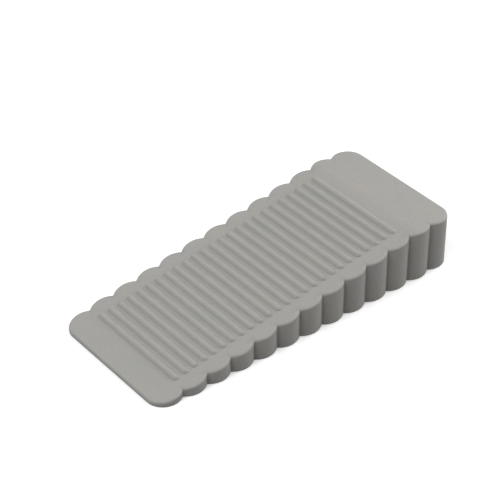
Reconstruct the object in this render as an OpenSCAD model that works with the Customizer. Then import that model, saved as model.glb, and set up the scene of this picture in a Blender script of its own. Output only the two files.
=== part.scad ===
// One-piece moulded rubber door wedge: a ramp with scalloped long sides, raised
// cross ribs on the ramp, a level landing at the heel and a grooved sole.
// Frame: +X from the thin tip to the heel, +Z up, origin at the centre of the
// sole's bounding rectangle.

/* [Wedge] */
// Overall length, from the tip to the heel, in mm
length = 120; // [110:1:135]
// Overall width, across the crests of the side lobes
width = 52.6; // [46:0.2:60]
// Height of the heel, which is also the height of the landing
heel_h = 18.6; // [16:0.2:24]
// Thickness of the tip's straight front edge
tip_h = 1.5; // [1.2:0.1:2.5]
// Length of the level landing at the heel
landing_l = 16; // [12:0.5:18]

/* [Scalloped sides] */
// Number of full lobes along each long side, between the corner lobes
lobe_count = 11; // [10:1:13]
// How far a lobe's crest stands out from its cusps
lobe_rise = 1.9; // [1.4:0.1:2.4]
// Distance from an end face to the nearest cusp
corner_l = 9.95; // [9:0.05:11]
// How far a corner lobe's crest stands out from its cusp
corner_rise = 1.4; // [0.8:0.1:1.4]

/* [Ramp ribs] */
// Number of ribs across the ramp
rib_count = 25; // [15:1:26]
// Width of a rib where it meets the ramp
rib_w = 2.3; // [1.8:0.1:2.6]
// Height of a rib above the ramp
rib_h = 0.8; // [0.5:0.05:0.8]
// Distance from a rib's rounded end to the line of the cusps
rib_margin = 4.2; // [3:0.1:8]
// Distance from the tip to the middle of the first rib
rib_tip_gap = 11.2; // [9:0.1:12]
// Distance from the middle of the last rib to the landing
rib_landing_gap = 5.4; // [4:0.1:6]

/* [Sole grooves] */
// Number of shallow grip grooves across the sole, even so that its middle is solid
groove_count = 14; // [6:2:16]
// Width of a groove at the sole
groove_w = 2.2; // [1.6:0.1:2.6]
// Depth of a groove
groove_d = 0.7; // [0.4:0.05:0.7]
// Distance from a groove's rounded end to the line of the cusps
groove_margin = 5.4; // [3:0.1:8]
// Distance from each end face to the middle of the nearest groove
groove_end_gap = 12; // [10:0.5:15]

/* [Hidden] */
// Pieces drawn on each full circle
$fn = 64;
// How far the cutting and profile solids run past the faces that they cross
over = 5;

half_l = length / 2;
cusp_y = width / 2 - lobe_rise;
// A lobe is an arc over one pitch that rises by lobe_rise
lobe_pitch = (length - 2 * corner_l) / lobe_count;
lobe_r = bead_r(lobe_pitch, lobe_rise);
lobe_y = width / 2 - lobe_r;
first_cusp_x = corner_l - half_l;
// A corner's arc is tangent to the end face and passes through the last cusp
corner_r = corner_l + corner_rise - sqrt(2 * corner_l * corner_rise);
corner_x = half_l - corner_r;
corner_y = cusp_y + corner_rise - corner_r;
ramp_l = length - landing_l;
ramp_slope = (heel_h - tip_h) / ramp_l;
ramp_angle = atan(ramp_slope);
first_rib_x = rib_tip_gap - half_l;
rib_pitch = (ramp_l - rib_tip_gap - rib_landing_gap) / (rib_count - 1);
rib_l = 2 * (cusp_y - rib_margin);
first_groove_x = groove_end_gap - half_l;
groove_pitch = (length - 2 * groove_end_gap) / (groove_count - 1);
groove_l = 2 * (cusp_y - groove_margin);
// Both signs, for what is mirrored about the centre plane
SIDES = [-1, 1];

// Radius of the arc that is w wide and rises by h
function bead_r(w, h) = (pow(w / 2, 2) + pow(h, 2)) / (2 * h);

// Height of the ramp's plane above the sole at x
function ramp_z(x) = tip_h + (x + half_l) * ramp_slope;

// The plan view: a straight-ended core, the side lobes and the corners
module plan() {
    square([length, 2 * corner_y], center = true);
    square([2 * corner_x, 2 * lobe_y], center = true);
    for (side = SIDES) {
        for (i = [0 : lobe_count - 1])
            translate([first_cusp_x + (i + 0.5) * lobe_pitch, side * lobe_y])
                circle(lobe_r);
        for (end = SIDES)
            translate([end * corner_x, side * corner_y])
                circle(corner_r);
    }
}

// The side view: flat sole, ramp and landing
module side_profile() {
    polygon([
        [-half_l - over, 0],
        [half_l + over, 0],
        [half_l + over, heel_h],
        [half_l - landing_l, heel_h],
        [-half_l - over, ramp_z(-half_l - over)]
    ]);
}

// The wedge with plain faces
module blank() {
    intersection() {
        linear_extrude(heel_h + over) plan();
        rotate([90, 0, 0])
            linear_extrude(width + 2 * over, center = true) side_profile();
    }
}

// A round bar along Y with ball ends, overall length l, its axis through the origin
module capsule(r, l) {
    rotate([90, 0, 0]) rotate_extrude()
        intersection() {
            union() {
                for (end = SIDES) translate([0, end * (l / 2 - r)]) circle(r);
                square([2 * r, l - 2 * r], center = true);
            }
            translate([0, -l]) square([2 * r, 2 * l]);
        }
}

// One rib: a capsule sunk into the ramp so that rib_h of it stands proud.
// It is longer than rib_l because its ball ends are partly buried.
module rib(x) {
    r = bead_r(rib_w, rib_h);
    sink = r - rib_h;
    translate([x + sink * sin(ramp_angle), 0, ramp_z(x) - sink * cos(ramp_angle)])
        capsule(r, rib_l + 2 * r - rib_w);
}

// One sole groove: a capsule that dips groove_d into the sole
module groove(x) {
    r = bead_r(groove_w, groove_d);
    translate([x, 0, groove_d - r])
        capsule(r, groove_l + 2 * r - groove_w);
}

// The whole moulding, which is one piece of rubber
module wedge() {
    color("darkgray") difference() {
        union() {
            blank();
            for (i = [0 : rib_count - 1])
                rib(first_rib_x + i * rib_pitch);
        }
        for (i = [0 : groove_count - 1])
            groove(first_groove_x + i * groove_pitch);
    }
}

wedge();
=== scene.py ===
"""A one-piece grey rubber door wedge: ribbed ramp, scalloped sides, level landing, grooved sole."""

import math

import bmesh
import bpy
from mathutils import Matrix, Vector
from mathutils.geometry import delaunay_2d_cdt


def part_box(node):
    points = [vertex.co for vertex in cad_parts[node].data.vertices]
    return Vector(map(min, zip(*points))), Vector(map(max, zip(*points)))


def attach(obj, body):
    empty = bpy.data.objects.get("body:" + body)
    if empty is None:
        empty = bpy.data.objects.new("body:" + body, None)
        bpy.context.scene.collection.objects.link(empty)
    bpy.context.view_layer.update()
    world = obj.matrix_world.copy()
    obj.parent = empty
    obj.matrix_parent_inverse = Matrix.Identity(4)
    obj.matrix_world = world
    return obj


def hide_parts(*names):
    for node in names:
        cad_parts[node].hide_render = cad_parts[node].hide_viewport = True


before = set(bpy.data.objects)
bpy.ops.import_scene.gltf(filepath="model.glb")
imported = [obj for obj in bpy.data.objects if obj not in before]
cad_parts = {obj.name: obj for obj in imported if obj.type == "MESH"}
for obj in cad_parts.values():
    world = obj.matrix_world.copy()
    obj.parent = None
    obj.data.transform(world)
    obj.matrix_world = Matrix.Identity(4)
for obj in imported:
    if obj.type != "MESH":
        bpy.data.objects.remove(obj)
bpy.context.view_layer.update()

MM = 0.001
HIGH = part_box("wedge")[1]
HALF_L = HIGH.x
HALF_W = HIGH.y
HEEL_H = HIGH.z
WHITE = (1, 1, 1)

# The wedge's own sizes, as in the CAD model
TIP_H = 1.5 * MM
LANDING_L = 16 * MM
LOBE_COUNT = 11
LOBE_RISE = 1.9 * MM
CORNER_L = 9.95 * MM
CORNER_RISE = 1.4 * MM
RIB_COUNT = 25
RIB_W = 2.3 * MM
RIB_H = 0.8 * MM
RIB_MARGIN = 4.2 * MM
RIB_TIP_GAP = 11.2 * MM
RIB_LANDING_GAP = 5.4 * MM
GROOVE_COUNT = 14
GROOVE_W = 2.2 * MM
GROOVE_D = 0.7 * MM
GROOVE_MARGIN = 5.4 * MM
GROOVE_END_GAP = 12 * MM

# Roundings that the CAD model leaves out
TOP_EDGE_R = 0.7 * MM
TIP_EDGE_SHARE = 0.36
SOLE_EDGE_R = 0.35 * MM
CUSP_R = 0.3 * MM
ROOT_R = 0.28 * MM
CREASE_HALF = 1.2 * MM

# How finely each feature is drawn
ARC_STEP = 0.36 * MM
CUSP_STEPS = 6
END_STEPS = 32
EDGE_STEPS = 6
SOLE_EDGE_STEPS = 4
WALL_ROWS = 5
BEAD_STEPS = 6
ROOT_STEPS = 4
CAP_STEPS = 14
SIDE_STEPS = 26
CREASE_STEPS = 3
LEAST_ARC_STEPS = 8
# Points closer than this become one, in metres
MERGE_GAP = 2e-6
# Spacing of the points that keep flat areas even, and how far they stay from the edge and the beads
FILL_STEP = 2.0 * MM
FILL_CLEAR = 0.7 * MM
RIB_CLEAR = 0.35 * MM
GROOVE_CLEAR = 0.5 * MM
# Inside this distance of the cusps, the outline's waves can shut a point out
WAVE_ZONE = 3 * MM
NEAR_EDGE = 4 * FILL_STEP

# Wear starts at this share of a rib's height, and a root is less hollow, with less painted shade, by this
# much at its far side
WEAR_FROM = 0.6
ROOT_FADE = 0.8
# Sole grooves are at least this hollow, so they carry at least this share of painted shade
GROOVE_HOLLOW = 0.5

# Values that follow from the sizes
CUSP_Y = HALF_W - LOBE_RISE
LOBE_PITCH = 2 * (HALF_L - CORNER_L) / LOBE_COUNT
RAMP_L = 2 * HALF_L - LANDING_L
RAMP_SLOPE = (HEEL_H - TIP_H) / RAMP_L
LANDING_X = HALF_L - LANDING_L
RAMP_NORMAL = Vector((-RAMP_SLOPE, 0, 1)).normalized()
UP = Vector((0, 0, 1))
CORNER_R = CORNER_L + CORNER_RISE - math.sqrt(2 * CORNER_L * CORNER_RISE)

# The rubber: colours, with a darker grey for painted shade in the hollows, sizes of its patterns, and depth
# of its bumps
COOL = (0.294, 0.293, 0.280)
WARM = (0.313, 0.299, 0.279)
# Painted shade: the darker grey laid into the cusps, rib roots and sole grooves
PAINTED_SHADE_GREY = (0.216, 0.210, 0.196)
WORN = (0.376, 0.372, 0.356)
CLOUD_SIZE = 7 * MM
SPECK_SIZE = 0.4 * MM
SHEEN_SIZE = 3 * MM
BROAD_SIZE = 2.6 * MM
GRAIN_SIZE = 0.28 * MM
BUMP_DEPTH = 0.03 * MM
# How much of the painted shade grey the deepest hollows get
PAINTED_SHADE_MOST = 0.28
WEAR_MOST = 0.10
SPECK_RANGE = (0.94, 1.06)
ROUGHNESS_RANGE = (0.60, 0.74)

# Soft boxes: name, direction from the wedge, power in watts
SOFT_BOXES = (
    ("soft_heel_end", (0.8, 0.0, 1.0), 3.2),
    ("soft_tip_end", (-0.8, 0.0, 1.0), 9.2),
    ("soft_front_right", (0.9, -0.7, 0.6), 5.4),
    ("soft_low_right", (1.0, 0.0, 0.4), 6.7),
    ("soft_low_behind", (0.0, 1.0, 0.4), 2.3),
    ("soft_back_left", (-0.7, 0.7, 0.7), 1.7),
)
BOX_DISTANCE = 1.1
BOX_SIZE = 0.9
SKY = 0.13
STAGE_R = 3.0
FLOOR_GAP = 0.02 * MM
FLOOR_SHOWN = 0.8
FLOOR_GLOW = 0.3
FLOOR_FADE = (0.2, 1.2)
SURROUND_GLOW = 0.97
FLOOR_BOUNCE = 0.35

# The camera: direction in degrees, place in metres along its own right, up and back, lens in mm
AZIMUTH = -38.83
ELEVATION = 36.65
CAMERA_RIGHT = -0.003647
CAMERA_UP = 0.013943
CAMERA_BACK = 0.57358
LENS = 128.1
SENSOR = 36
NEAREST_SEEN = 0.01
FARTHEST_SEEN = 20


def bead_r(w, h):
    """Radius of the arc that is w wide and rises by h."""
    return (w * w / 4 + h * h) / (2 * h)


def top_z(x):
    """Height of the ramp and landing at x, with the crease between them rounded."""
    ramp = TIP_H + (x + HALF_L) * RAMP_SLOPE
    past = x - LANDING_X
    if past <= -CREASE_HALF:
        return ramp
    if past >= CREASE_HALF:
        return HEEL_H
    return HEEL_H - RAMP_SLOPE * (CREASE_HALF - past) ** 2 / (4 * CREASE_HALF)


def sole_z(x):
    """Height of the level sole, the same at every x."""
    return 0.0


def edge_r(x):
    """Radius of the top edge's rounding at x, which is smaller where the wedge is thin."""
    return min(TOP_EDGE_R, TIP_EDGE_SHARE * top_z(x))


def sole_r(x):
    """Radius of the sole edge's rounding at x."""
    return min(SOLE_EDGE_R, TIP_EDGE_SHARE / 3 * top_z(x))


def turned(angle):
    """Unit vector at an angle from +X in the plan."""
    return Vector((math.cos(angle), math.sin(angle)))


def arc(centre, radius, start, end, steps, hollow=False):
    """Points and outward normals along an arc, without its last point."""
    made = []
    for i in range(steps):
        d = turned(start + (end - start) * i / steps)
        made.append((centre + radius * d, -d if hollow else d, 1.0 if hollow else 0.0))
    return made


def arc_steps(radius, angle):
    """How many pieces an arc is drawn in."""
    return max(LEAST_ARC_STEPS, round(radius * angle / ARC_STEP))


def half_outline():
    """The +Y half of the plan outline, from the heel face round to the tip face.

    Each entry is a point, its outward normal and how deep it lies in a cusp, which sets its painted shade.
    """
    corner = Vector((HALF_L - CORNER_R, CUSP_Y + CORNER_RISE - CORNER_R))
    lobe_r = bead_r(LOBE_PITCH, LOBE_RISE)
    first_x = HALF_L - CORNER_L - LOBE_PITCH / 2
    circles = [(corner, CORNER_R)]
    for i in range(LOBE_COUNT):
        circles.append((Vector((first_x - i * LOBE_PITCH, HALF_W - lobe_r)), lobe_r))
    circles += [(Vector((-corner.x, corner.y)), CORNER_R)]
    made = []
    start = 0.0
    for (c1, r1), (c2, r2) in zip(circles, circles[1:]):
        gap = (c2 - c1).length
        along = ((r1 + CUSP_R) ** 2 - (r2 + CUSP_R) ** 2 + gap * gap) / (2 * gap)
        out = math.sqrt((r1 + CUSP_R) ** 2 - along * along)
        way = (c2 - c1).normalized()
        cusp = c1 + way * along + Vector((way.y, -way.x)) * out
        to_cusp = cusp - c1
        end = math.atan2(to_cusp.y, to_cusp.x)
        made += arc(c1, r1, start, end, arc_steps(r1, end - start))
        back = c1 - cusp
        ahead = c2 - cusp
        a1 = math.atan2(back.y, back.x)
        a2 = math.atan2(ahead.y, ahead.x)
        made += arc(cusp, CUSP_R, a1, a2, CUSP_STEPS, hollow=True)
        start = math.atan2(-ahead.y, -ahead.x)
    last, radius = circles[-1]
    made += arc(last, radius, start, math.pi, arc_steps(radius, math.pi - start))
    for i in range(END_STEPS):
        made.append((Vector((-HALF_L, corner.y * (1 - 2 * i / END_STEPS))), Vector((-1, 0)), 0.0))
    return made


def outline():
    """The whole outline, anticlockwise."""
    half = half_outline()
    return half + [(-p, -n, c) for p, n, c in half]


def bead_profile(w, h):
    """(distance from the spine, height, hollowness for painted shade) from a bead's crest to its root's far
    side.
    """
    r = bead_r(w, h)
    sunk = r - h
    reach = math.sqrt((r + ROOT_R) ** 2 - (ROOT_R + sunk) ** 2)
    meet = math.atan2(reach, ROOT_R + sunk)
    steps = [meet * i / BEAD_STEPS for i in range(BEAD_STEPS + 1)]
    made = [(r * math.sin(a), r * math.cos(a) - sunk, 0.0) for a in steps]
    for i in range(1, ROOT_STEPS + 1):
        a = meet * (1 - i / ROOT_STEPS)
        hollow = 1 - ROOT_FADE * i / ROOT_STEPS
        made.append((reach - ROOT_R * math.sin(a), ROOT_R - ROOT_R * math.cos(a), hollow))
    return made


def stadium(x, half_spine):
    """Spine points and directions round a straight bar with round ends, anticlockwise."""
    made = []
    for i in range(SIDE_STEPS):
        made.append((Vector((x, half_spine * (2 * i / SIDE_STEPS - 1))), Vector((1, 0))))
    for i in range(CAP_STEPS):
        made.append((Vector((x, half_spine)), turned(math.pi * i / CAP_STEPS)))
    for i in range(SIDE_STEPS):
        made.append((Vector((x, half_spine * (1 - 2 * i / SIDE_STEPS))), Vector((-1, 0))))
    for i in range(CAP_STEPS):
        made.append((Vector((x, -half_spine)), turned(math.pi + math.pi * i / CAP_STEPS)))
    return made


class Shell:
    """A mesh made of rings and filled faces, with how worn and how hollow each point is; the hollowness
    sets painted shade.
    """

    def __init__(self):
        self.points = []
        self.faces = []
        self.wear = []
        self.hollow = []

    def ring(self, points, wear=0.0, hollow=None):
        first = len(self.points)
        self.points += points
        self.wear += [wear] * len(points)
        self.hollow += hollow if hollow else [0.0] * len(points)
        return list(range(first, len(self.points)))

    def strip(self, upper, lower):
        """Quads between two closed anticlockwise rings, facing out where upper lies above lower."""
        n = len(upper)
        for i in range(n):
            j = (i + 1) % n
            self.faces.append((lower[i], lower[j], upper[j], upper[i]))

    def fill(self, border, holes, inside, height, up):
        """Triangles between the border ring and the hole rings, through the extra points inside."""
        loops = [border] + holes
        ids = [i for loop in loops for i in loop]
        flat = [self.points[i].xy for i in ids] + inside
        ids += self.ring([Vector((p.x, p.y, height(p.x))) for p in inside])
        faces = []
        start = 0
        for loop in loops:
            faces.append(list(range(start, start + len(loop))))
            start += len(loop)
        _, _, out_faces, origin, _, within = delaunay_2d_cdt(flat, [], faces, 1, 1e-9)
        for face, parents in zip(out_faces, within):
            if list(parents) != [0]:
                continue
            corners = [ids[origin[i][0]] for i in face]
            self.faces.append(tuple(corners if up else reversed(corners)))


def far_from(point, others, reach):
    """True where the point is farther than reach from each of the others."""
    return all((point - p).length > reach for p in others)


def fill_points(edge, spines, half_spine, foot, rows):
    """Points that keep the flat areas' triangles even, clear of the edge and of the beads."""
    count_x = int(2 * HALF_L / FILL_STEP)
    count_y = int(2 * HALF_W / FILL_STEP)
    spots = [
        Vector((-HALF_L + (i + 0.5) * FILL_STEP, (j - count_y / 2) * FILL_STEP))
        for i in range(count_x)
        for j in range(count_y + 1)
        if all(abs(-HALF_L + (i + 0.5) * FILL_STEP - row) > FILL_STEP / 2 for row in rows)
    ]
    spots += [Vector((row, (j - count_y) * FILL_STEP / 2)) for row in rows for j in range(2 * count_y + 1)]
    kept = []
    for p in spots:
        if not (abs(p.x) < HALF_L - FILL_CLEAR and abs(p.y) < HALF_W - FILL_CLEAR):
            continue
        near = [q for q in edge if abs(q.x - p.x) < NEAR_EDGE and q.y * p.y >= 0]
        if abs(p.y) > CUSP_Y - WAVE_ZONE and near and max(abs(q.y) for q in near) < abs(p.y):
            continue
        if any((Vector((x, max(-half_spine, min(half_spine, p.y)))) - p).length < foot for x in spines):
            continue
        kept.append(p)
    return [p for p in kept if far_from(p, edge, FILL_CLEAR) and in_outline(p, edge)]


def in_outline(p, edge):
    """True inside the closed polygon, by counting the sides that a ray crosses."""
    inside = False
    for a, b in zip(edge, edge[1:] + edge[:1]):
        if (a.y > p.y) != (b.y > p.y) and p.x < a.x + (p.y - a.y) * (b.x - a.x) / (b.y - a.y):
            inside = not inside
    return inside


def add_beads(shell, xs, half_spine, profile, base_z, way, up):
    """Ribs that stand along way, or grooves that sink along it. Returns their outer rings."""
    outer = []
    for x in xs:
        spine = stadium(x, half_spine)
        rings = []
        for reach, height, hollow in profile:
            points = []
            for s, d in spine:
                p = s + d * reach
                points.append(Vector((p.x, p.y, base_z(p.x))) + way * height)
            wear = max(0.0, height / profile[0][1] - WEAR_FROM) / (1 - WEAR_FROM) if up else 0.0
            # Hollowness becomes painted shade; grooves get at least GROOVE_HOLLOW of it
            depth = hollow if up else max(hollow, GROOVE_HOLLOW)
            rings.append(shell.ring(points, wear, [depth] * len(points)))
        for inner, wider in zip(rings, rings[1:]):
            if up:
                shell.strip(inner, wider)
            else:
                shell.strip(wider, inner)
        outer.append(rings[-1])
    return outer


def wedge_shell():
    """The whole moulding as one closed mesh."""
    shell = Shell()
    edge = outline()
    in_cusp = [c for _, _, c in edge]

    def ring(inset, height, wear, radius=edge_r):
        """A ring of the outline, moved in by a share of the rounding's radius."""
        flat = [p - n * inset * radius(p.x) for p, n, _ in edge]
        return shell.ring([Vector((p.x, p.y, height(p.x))) for p in flat], wear, in_cusp)

    rings = []
    for i in range(EDGE_STEPS + 1):
        a = math.pi / 2 * (1 - i / EDGE_STEPS)
        drop = 1 - math.sin(a)
        rings.append(ring(1 - math.cos(a), lambda x, d=drop: top_z(x) - edge_r(x) * d, math.sin(2 * a)))
    for i in range(1, WALL_ROWS):
        share = i / WALL_ROWS
        rings.append(ring(0, lambda x, s=share: (top_z(x) - edge_r(x)) * (1 - s) + sole_r(x) * s, 0))
    for i in range(SOLE_EDGE_STEPS + 1):
        a = math.pi / 2 * i / SOLE_EDGE_STEPS
        rings.append(ring(1 - math.cos(a), lambda x, a=a: sole_r(x) * (1 - math.sin(a)), 0, sole_r))
    for upper, lower in zip(rings, rings[1:]):
        shell.strip(upper, lower)

    first = -HALF_L + RIB_TIP_GAP
    pitch = (RAMP_L - RIB_TIP_GAP - RIB_LANDING_GAP) / (RIB_COUNT - 1)
    ribs = [first + i * pitch for i in range(RIB_COUNT)]
    profile = bead_profile(RIB_W, RIB_H)
    half_spine = CUSP_Y - RIB_MARGIN - RIB_W / 2
    holes = add_beads(shell, ribs, half_spine, profile, top_z, RAMP_NORMAL, True)
    top_edge = [shell.points[i].xy for i in rings[0]]
    reach = CREASE_STEPS + 1
    rows = [LANDING_X + CREASE_HALF * k / CREASE_STEPS for k in range(-reach, reach + 1)]
    spots = fill_points(top_edge, ribs, half_spine, profile[-1][0] + RIB_CLEAR, rows)
    shell.fill(rings[0], holes, spots, top_z, True)

    first = -HALF_L + GROOVE_END_GAP
    pitch = 2 * (HALF_L - GROOVE_END_GAP) / (GROOVE_COUNT - 1)
    grooves = [first + i * pitch for i in range(GROOVE_COUNT)]
    profile = bead_profile(GROOVE_W, GROOVE_D)
    half_spine = CUSP_Y - GROOVE_MARGIN - GROOVE_W / 2
    holes = add_beads(shell, grooves, half_spine, profile, sole_z, UP, False)
    sole_edge = [shell.points[i].xy for i in rings[-1]]
    spots = fill_points(sole_edge, grooves, half_spine, profile[-1][0] + GROOVE_CLEAR, [])
    shell.fill(rings[-1], holes, spots, sole_z, False)
    return shell


def wedge_piece():
    """The moulding as one piece, with its attributes, smooth shading and rubber."""
    shell = wedge_shell()
    mesh = bpy.data.meshes.new("wedge_rubber")
    mesh.from_pydata(shell.points, [], shell.faces)
    # The hollow attribute marks where the rubber is darkened with painted shade
    for name, values in (("wear", shell.wear), ("hollow", shell.hollow)):
        layer = mesh.attributes.new(name, "FLOAT", "POINT")
        layer.data.foreach_set("value", values)
    bm = bmesh.new()
    bm.from_mesh(mesh)
    bmesh.ops.remove_doubles(bm, verts=bm.verts, dist=MERGE_GAP)
    bmesh.ops.recalc_face_normals(bm, faces=bm.faces)
    bm.to_mesh(mesh)
    bm.free()
    mesh.polygons.foreach_set("use_smooth", [True] * len(mesh.polygons))
    piece = bpy.data.objects.new("wedge_rubber", mesh)
    bpy.context.scene.collection.objects.link(piece)
    even = piece.modifiers.new("even_shading", "WEIGHTED_NORMAL")
    even.weight = 60
    mesh.materials.append(rubber())
    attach(piece, "root")
    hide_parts("wedge")
    return piece


class Nodes:
    """Short ways to add and join shader nodes."""

    def __init__(self, name):
        self.material = bpy.data.materials.new(name)
        self.material.use_nodes = True
        self.tree = self.material.node_tree
        self.shader = self.tree.nodes["Principled BSDF"]
        self.place = self.add("ShaderNodeTexCoord").outputs["Object"]

    def add(self, kind, **values):
        node = self.tree.nodes.new(kind)
        for name, value in values.items():
            setattr(node, name, value)
        return node

    def join(self, out, into):
        self.tree.links.new(out, into)

    def noise(self, size, detail, rough=0.5, warp=0.0):
        node = self.add("ShaderNodeTexNoise")
        node.inputs["Scale"].default_value = 1 / size
        node.inputs["Detail"].default_value = detail
        node.inputs["Roughness"].default_value = rough
        node.inputs["Distortion"].default_value = warp
        self.join(self.place, node.inputs["Vector"])
        return node.outputs["Fac"]

    def spread(self, value, low, high, to_low, to_high):
        node = self.add("ShaderNodeMapRange")
        for name, number in zip(("From Min", "From Max", "To Min", "To Max"), (low, high, to_low, to_high)):
            node.inputs[name].default_value = number
        self.join(value, node.inputs["Value"])
        return node.outputs["Result"]

    def mix(self, factor, a, b, blend="MIX"):
        node = self.add("ShaderNodeMix", data_type="RGBA", blend_type=blend)
        if isinstance(factor, float):
            node.inputs["Factor"].default_value = factor
        else:
            self.join(factor, node.inputs["Factor"])
        for value, name in ((a, "A"), (b, "B")):
            socket = next(s for s in node.inputs if s.name == name and s.type == "RGBA")
            if isinstance(value, tuple):
                socket.default_value = (*value, 1)
            else:
                self.join(value, socket)
        return next(s for s in node.outputs if s.type == "RGBA")

    def attribute(self, name):
        return self.add("ShaderNodeAttribute", attribute_name=name).outputs["Fac"]

    def bump(self, height, strength, distance, under=None):
        node = self.add("ShaderNodeBump")
        node.inputs["Strength"].default_value = strength
        node.inputs["Distance"].default_value = distance
        self.join(height, node.inputs["Height"])
        if under:
            self.join(under, node.inputs["Normal"])
        return node.outputs["Normal"]


def rubber():
    """Matte moulded grey rubber: faint clouds, filler specks, a spark-eroded grain and painted shade that
    darkens the hollows.
    """
    n = Nodes("grey_rubber")
    clouds = n.spread(n.noise(CLOUD_SIZE, 3, 0.55, 0.4), 0.35, 0.65, 0, 1)
    colour = n.mix(clouds, COOL, WARM)
    specks = n.spread(n.noise(SPECK_SIZE, 2, 0.6), 0.3, 0.7, *SPECK_RANGE)
    shade = n.add("ShaderNodeCombineColor")
    for name in ("Red", "Green", "Blue"):
        n.join(specks, shade.inputs[name])
    colour = n.mix(1.0, colour, shade.outputs["Color"], "MULTIPLY")
    # Painted shade: cusps, rib roots and sole grooves are mixed towards a darker grey by how hollow they
    # are
    painted_shade = n.spread(n.attribute("hollow"), 0, 1, 0, PAINTED_SHADE_MOST)
    colour = n.mix(painted_shade, colour, PAINTED_SHADE_GREY)
    worn = n.spread(n.attribute("wear"), 0, 1, 0, WEAR_MOST)
    colour = n.mix(worn, colour, WORN)
    n.join(colour, n.shader.inputs["Base Color"])
    sheen = n.spread(n.noise(SHEEN_SIZE, 4, 0.6), 0.3, 0.7, *ROUGHNESS_RANGE)
    n.join(sheen, n.shader.inputs["Roughness"])
    n.shader.inputs["Specular IOR Level"].default_value = 0.35
    broad = n.bump(n.noise(BROAD_SIZE, 2), 0.3, BUMP_DEPTH)
    grain = n.bump(n.noise(GRAIN_SIZE, 3, 0.62), 0.8, BUMP_DEPTH, broad)
    n.join(grain, n.shader.inputs["Normal"])
    return n.material


def stage_material(name, base, glow, far_glow=None):
    """Matte and plain. With far_glow it glows more far out, so that it stays pale to the horizon."""
    n = Nodes(name)
    n.shader.inputs["Base Color"].default_value = (base, base, base, 1)
    n.shader.inputs["Roughness"].default_value = 0.9
    n.shader.inputs["Specular IOR Level"].default_value = 0.0
    n.shader.inputs["Emission Color"].default_value = (*WHITE, 1)
    n.shader.inputs["Emission Strength"].default_value = glow
    if far_glow:
        reach = n.add("ShaderNodeVectorMath", operation="LENGTH")
        n.join(n.place, reach.inputs[0])
        fade = n.spread(reach.outputs["Value"], *FLOOR_FADE, glow, far_glow)
        n.join(fade, n.shader.inputs["Emission Strength"])
    return n.material


def stage_piece(name, mesh, material):
    mesh.materials.append(material)
    obj = bpy.data.objects.new(name, mesh)
    bpy.context.scene.collection.objects.link(obj)
    return obj


def plane(name, height, material):
    """A large level sheet that belongs to the stage."""
    mesh = bpy.data.meshes.new(name)
    sides = ((-1, -1), (1, -1), (1, 1), (-1, 1))
    mesh.from_pydata([Vector((x * STAGE_R, y * STAGE_R, height)) for x, y in sides], [], [(0, 1, 2, 3)])
    return stage_piece(name, mesh, material)


def only_seen(obj):
    """The camera sees it, and it neither lights nor shades the wedge."""
    obj.visible_diffuse = False
    obj.visible_glossy = False
    obj.visible_transmission = False
    obj.visible_shadow = False


def floor():
    """A white floor and a pale surround for the camera, over a greyer floor that lights the wedge."""
    pale = stage_material("floor_pale", FLOOR_SHOWN, FLOOR_GLOW, SURROUND_GLOW)
    only_seen(plane("floor_shown", -FLOOR_GAP, pale))
    bounce = plane("floor_bounce", -2 * FLOOR_GAP, stage_material("floor_grey", FLOOR_BOUNCE, 0.0))
    bounce.visible_camera = False
    bm = bmesh.new()
    bmesh.ops.create_icosphere(bm, subdivisions=4, radius=STAGE_R)
    mesh = bpy.data.meshes.new("surround")
    bm.to_mesh(mesh)
    bm.free()
    only_seen(stage_piece("surround", mesh, stage_material("surround_pale", 0.0, SURROUND_GLOW)))


def area_light(name, direction, distance, size, watts):
    """A square soft light that points at the wedge from a direction."""
    lamp = bpy.data.lights.new(name, "AREA")
    lamp.size = size
    lamp.energy = watts
    obj = bpy.data.objects.new(name, lamp)
    way = Vector(direction).normalized()
    obj.location = way * distance
    obj.rotation_mode = "QUATERNION"
    obj.rotation_quaternion = way.to_track_quat("Z", "Y")
    bpy.context.scene.collection.objects.link(obj)


def lights():
    """Six large soft boxes and a faint even fill."""
    world = bpy.data.worlds.new("studio")
    world.use_nodes = True
    fill = world.node_tree.nodes["Background"]
    fill.inputs["Color"].default_value = (*WHITE, 1)
    fill.inputs["Strength"].default_value = SKY
    bpy.context.scene.world = world
    for name, direction, watts in SOFT_BOXES:
        area_light(name, direction, BOX_DISTANCE, BOX_SIZE, watts)


def camera():
    """At the photographed angle, with its principal point at the middle of the frame."""
    azimuth = math.radians(AZIMUTH)
    elevation = math.radians(ELEVATION)
    right = Vector((math.cos(azimuth), math.sin(azimuth), 0))
    back = Vector((
        math.sin(azimuth) * math.cos(elevation),
        -math.cos(azimuth) * math.cos(elevation),
        math.sin(elevation),
    ))
    up = back.cross(right)
    data = bpy.data.cameras.new("camera")
    data.sensor_width = SENSOR
    data.lens = LENS
    data.clip_start = NEAREST_SEEN
    data.clip_end = FARTHEST_SEEN
    obj = bpy.data.objects.new("camera", data)
    turn = Matrix((right, up, back)).transposed()
    place = right * CAMERA_RIGHT + up * CAMERA_UP + back * CAMERA_BACK
    obj.matrix_world = Matrix.Translation(place) @ turn.to_4x4()
    bpy.context.scene.collection.objects.link(obj)
    bpy.context.scene.camera = obj


camera()
lights()
floor()
wedge_piece()
bpy.context.scene.view_settings.view_transform = "Standard"
